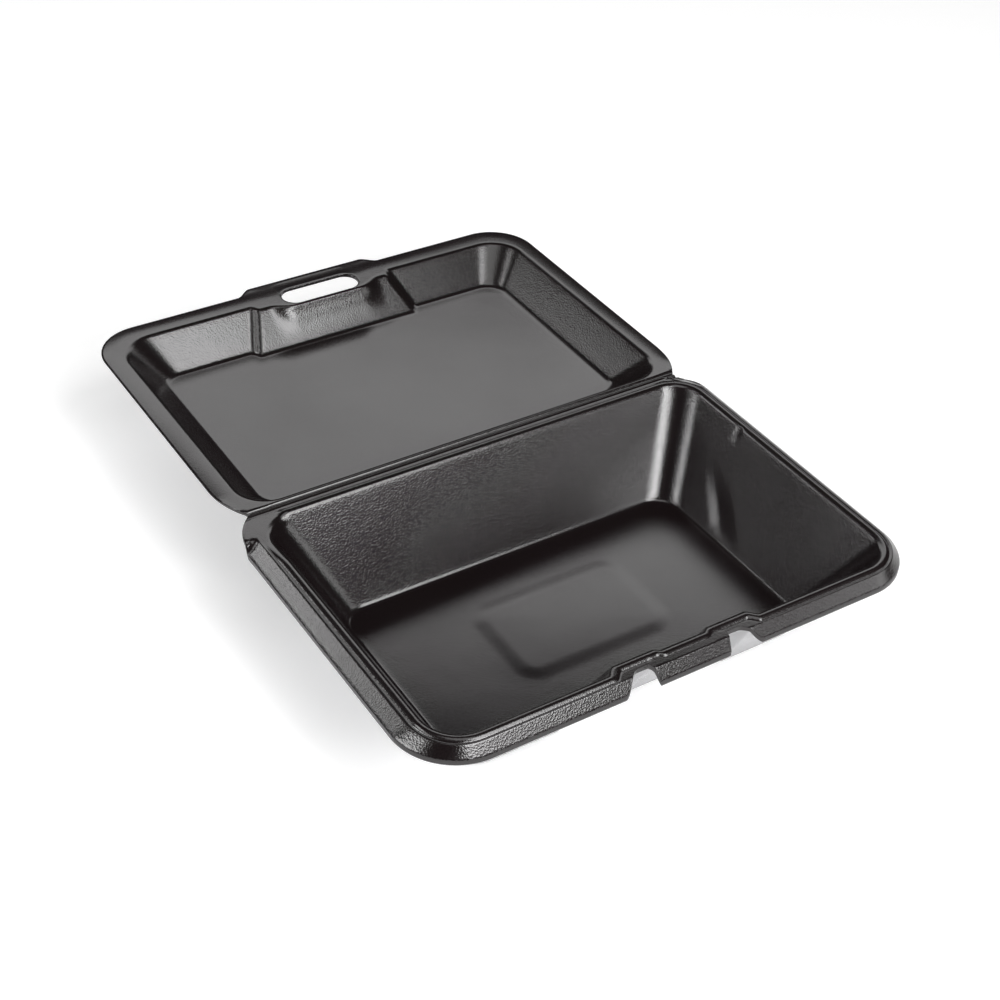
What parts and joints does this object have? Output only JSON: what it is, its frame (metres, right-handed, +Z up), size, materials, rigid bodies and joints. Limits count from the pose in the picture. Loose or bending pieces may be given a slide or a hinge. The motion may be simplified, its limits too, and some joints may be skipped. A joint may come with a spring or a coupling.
{
  "type": "foam clamshell container",
  "caption": "Hinged foam takeaway container lying open flat: deep rectangular tray with a lock tab, and a shallow lid with a slot for it.",
  "frame": {"origin": "middle of the tray's flat foot, on the surface that it stands on", "axes": "+Z up, out of the tray's opening; +X along the hinge, to the right seen from the lock tab; +Y from the tray towards the hinge and the open lid"},
  "size_m": [0.235, 0.3191, 0.0462],
  "materials": {
    "tray_foam": "satin black foam skin",
    "lid_foam": "satin black foam skin"
  },
  "bodies": {
    "tray": {"base_tray": "tray_foam"},
    "lid": {"lid": "lid_foam"}
  },
  "joints": [
    {"name": "lid_hinge", "type": "hinge", "parent": "tray", "child": "lid", "pos_m": [0, 0.0794, 0.04546], "axis": [1, 0, 0], "range_deg": [0, 180]}
  ]
}
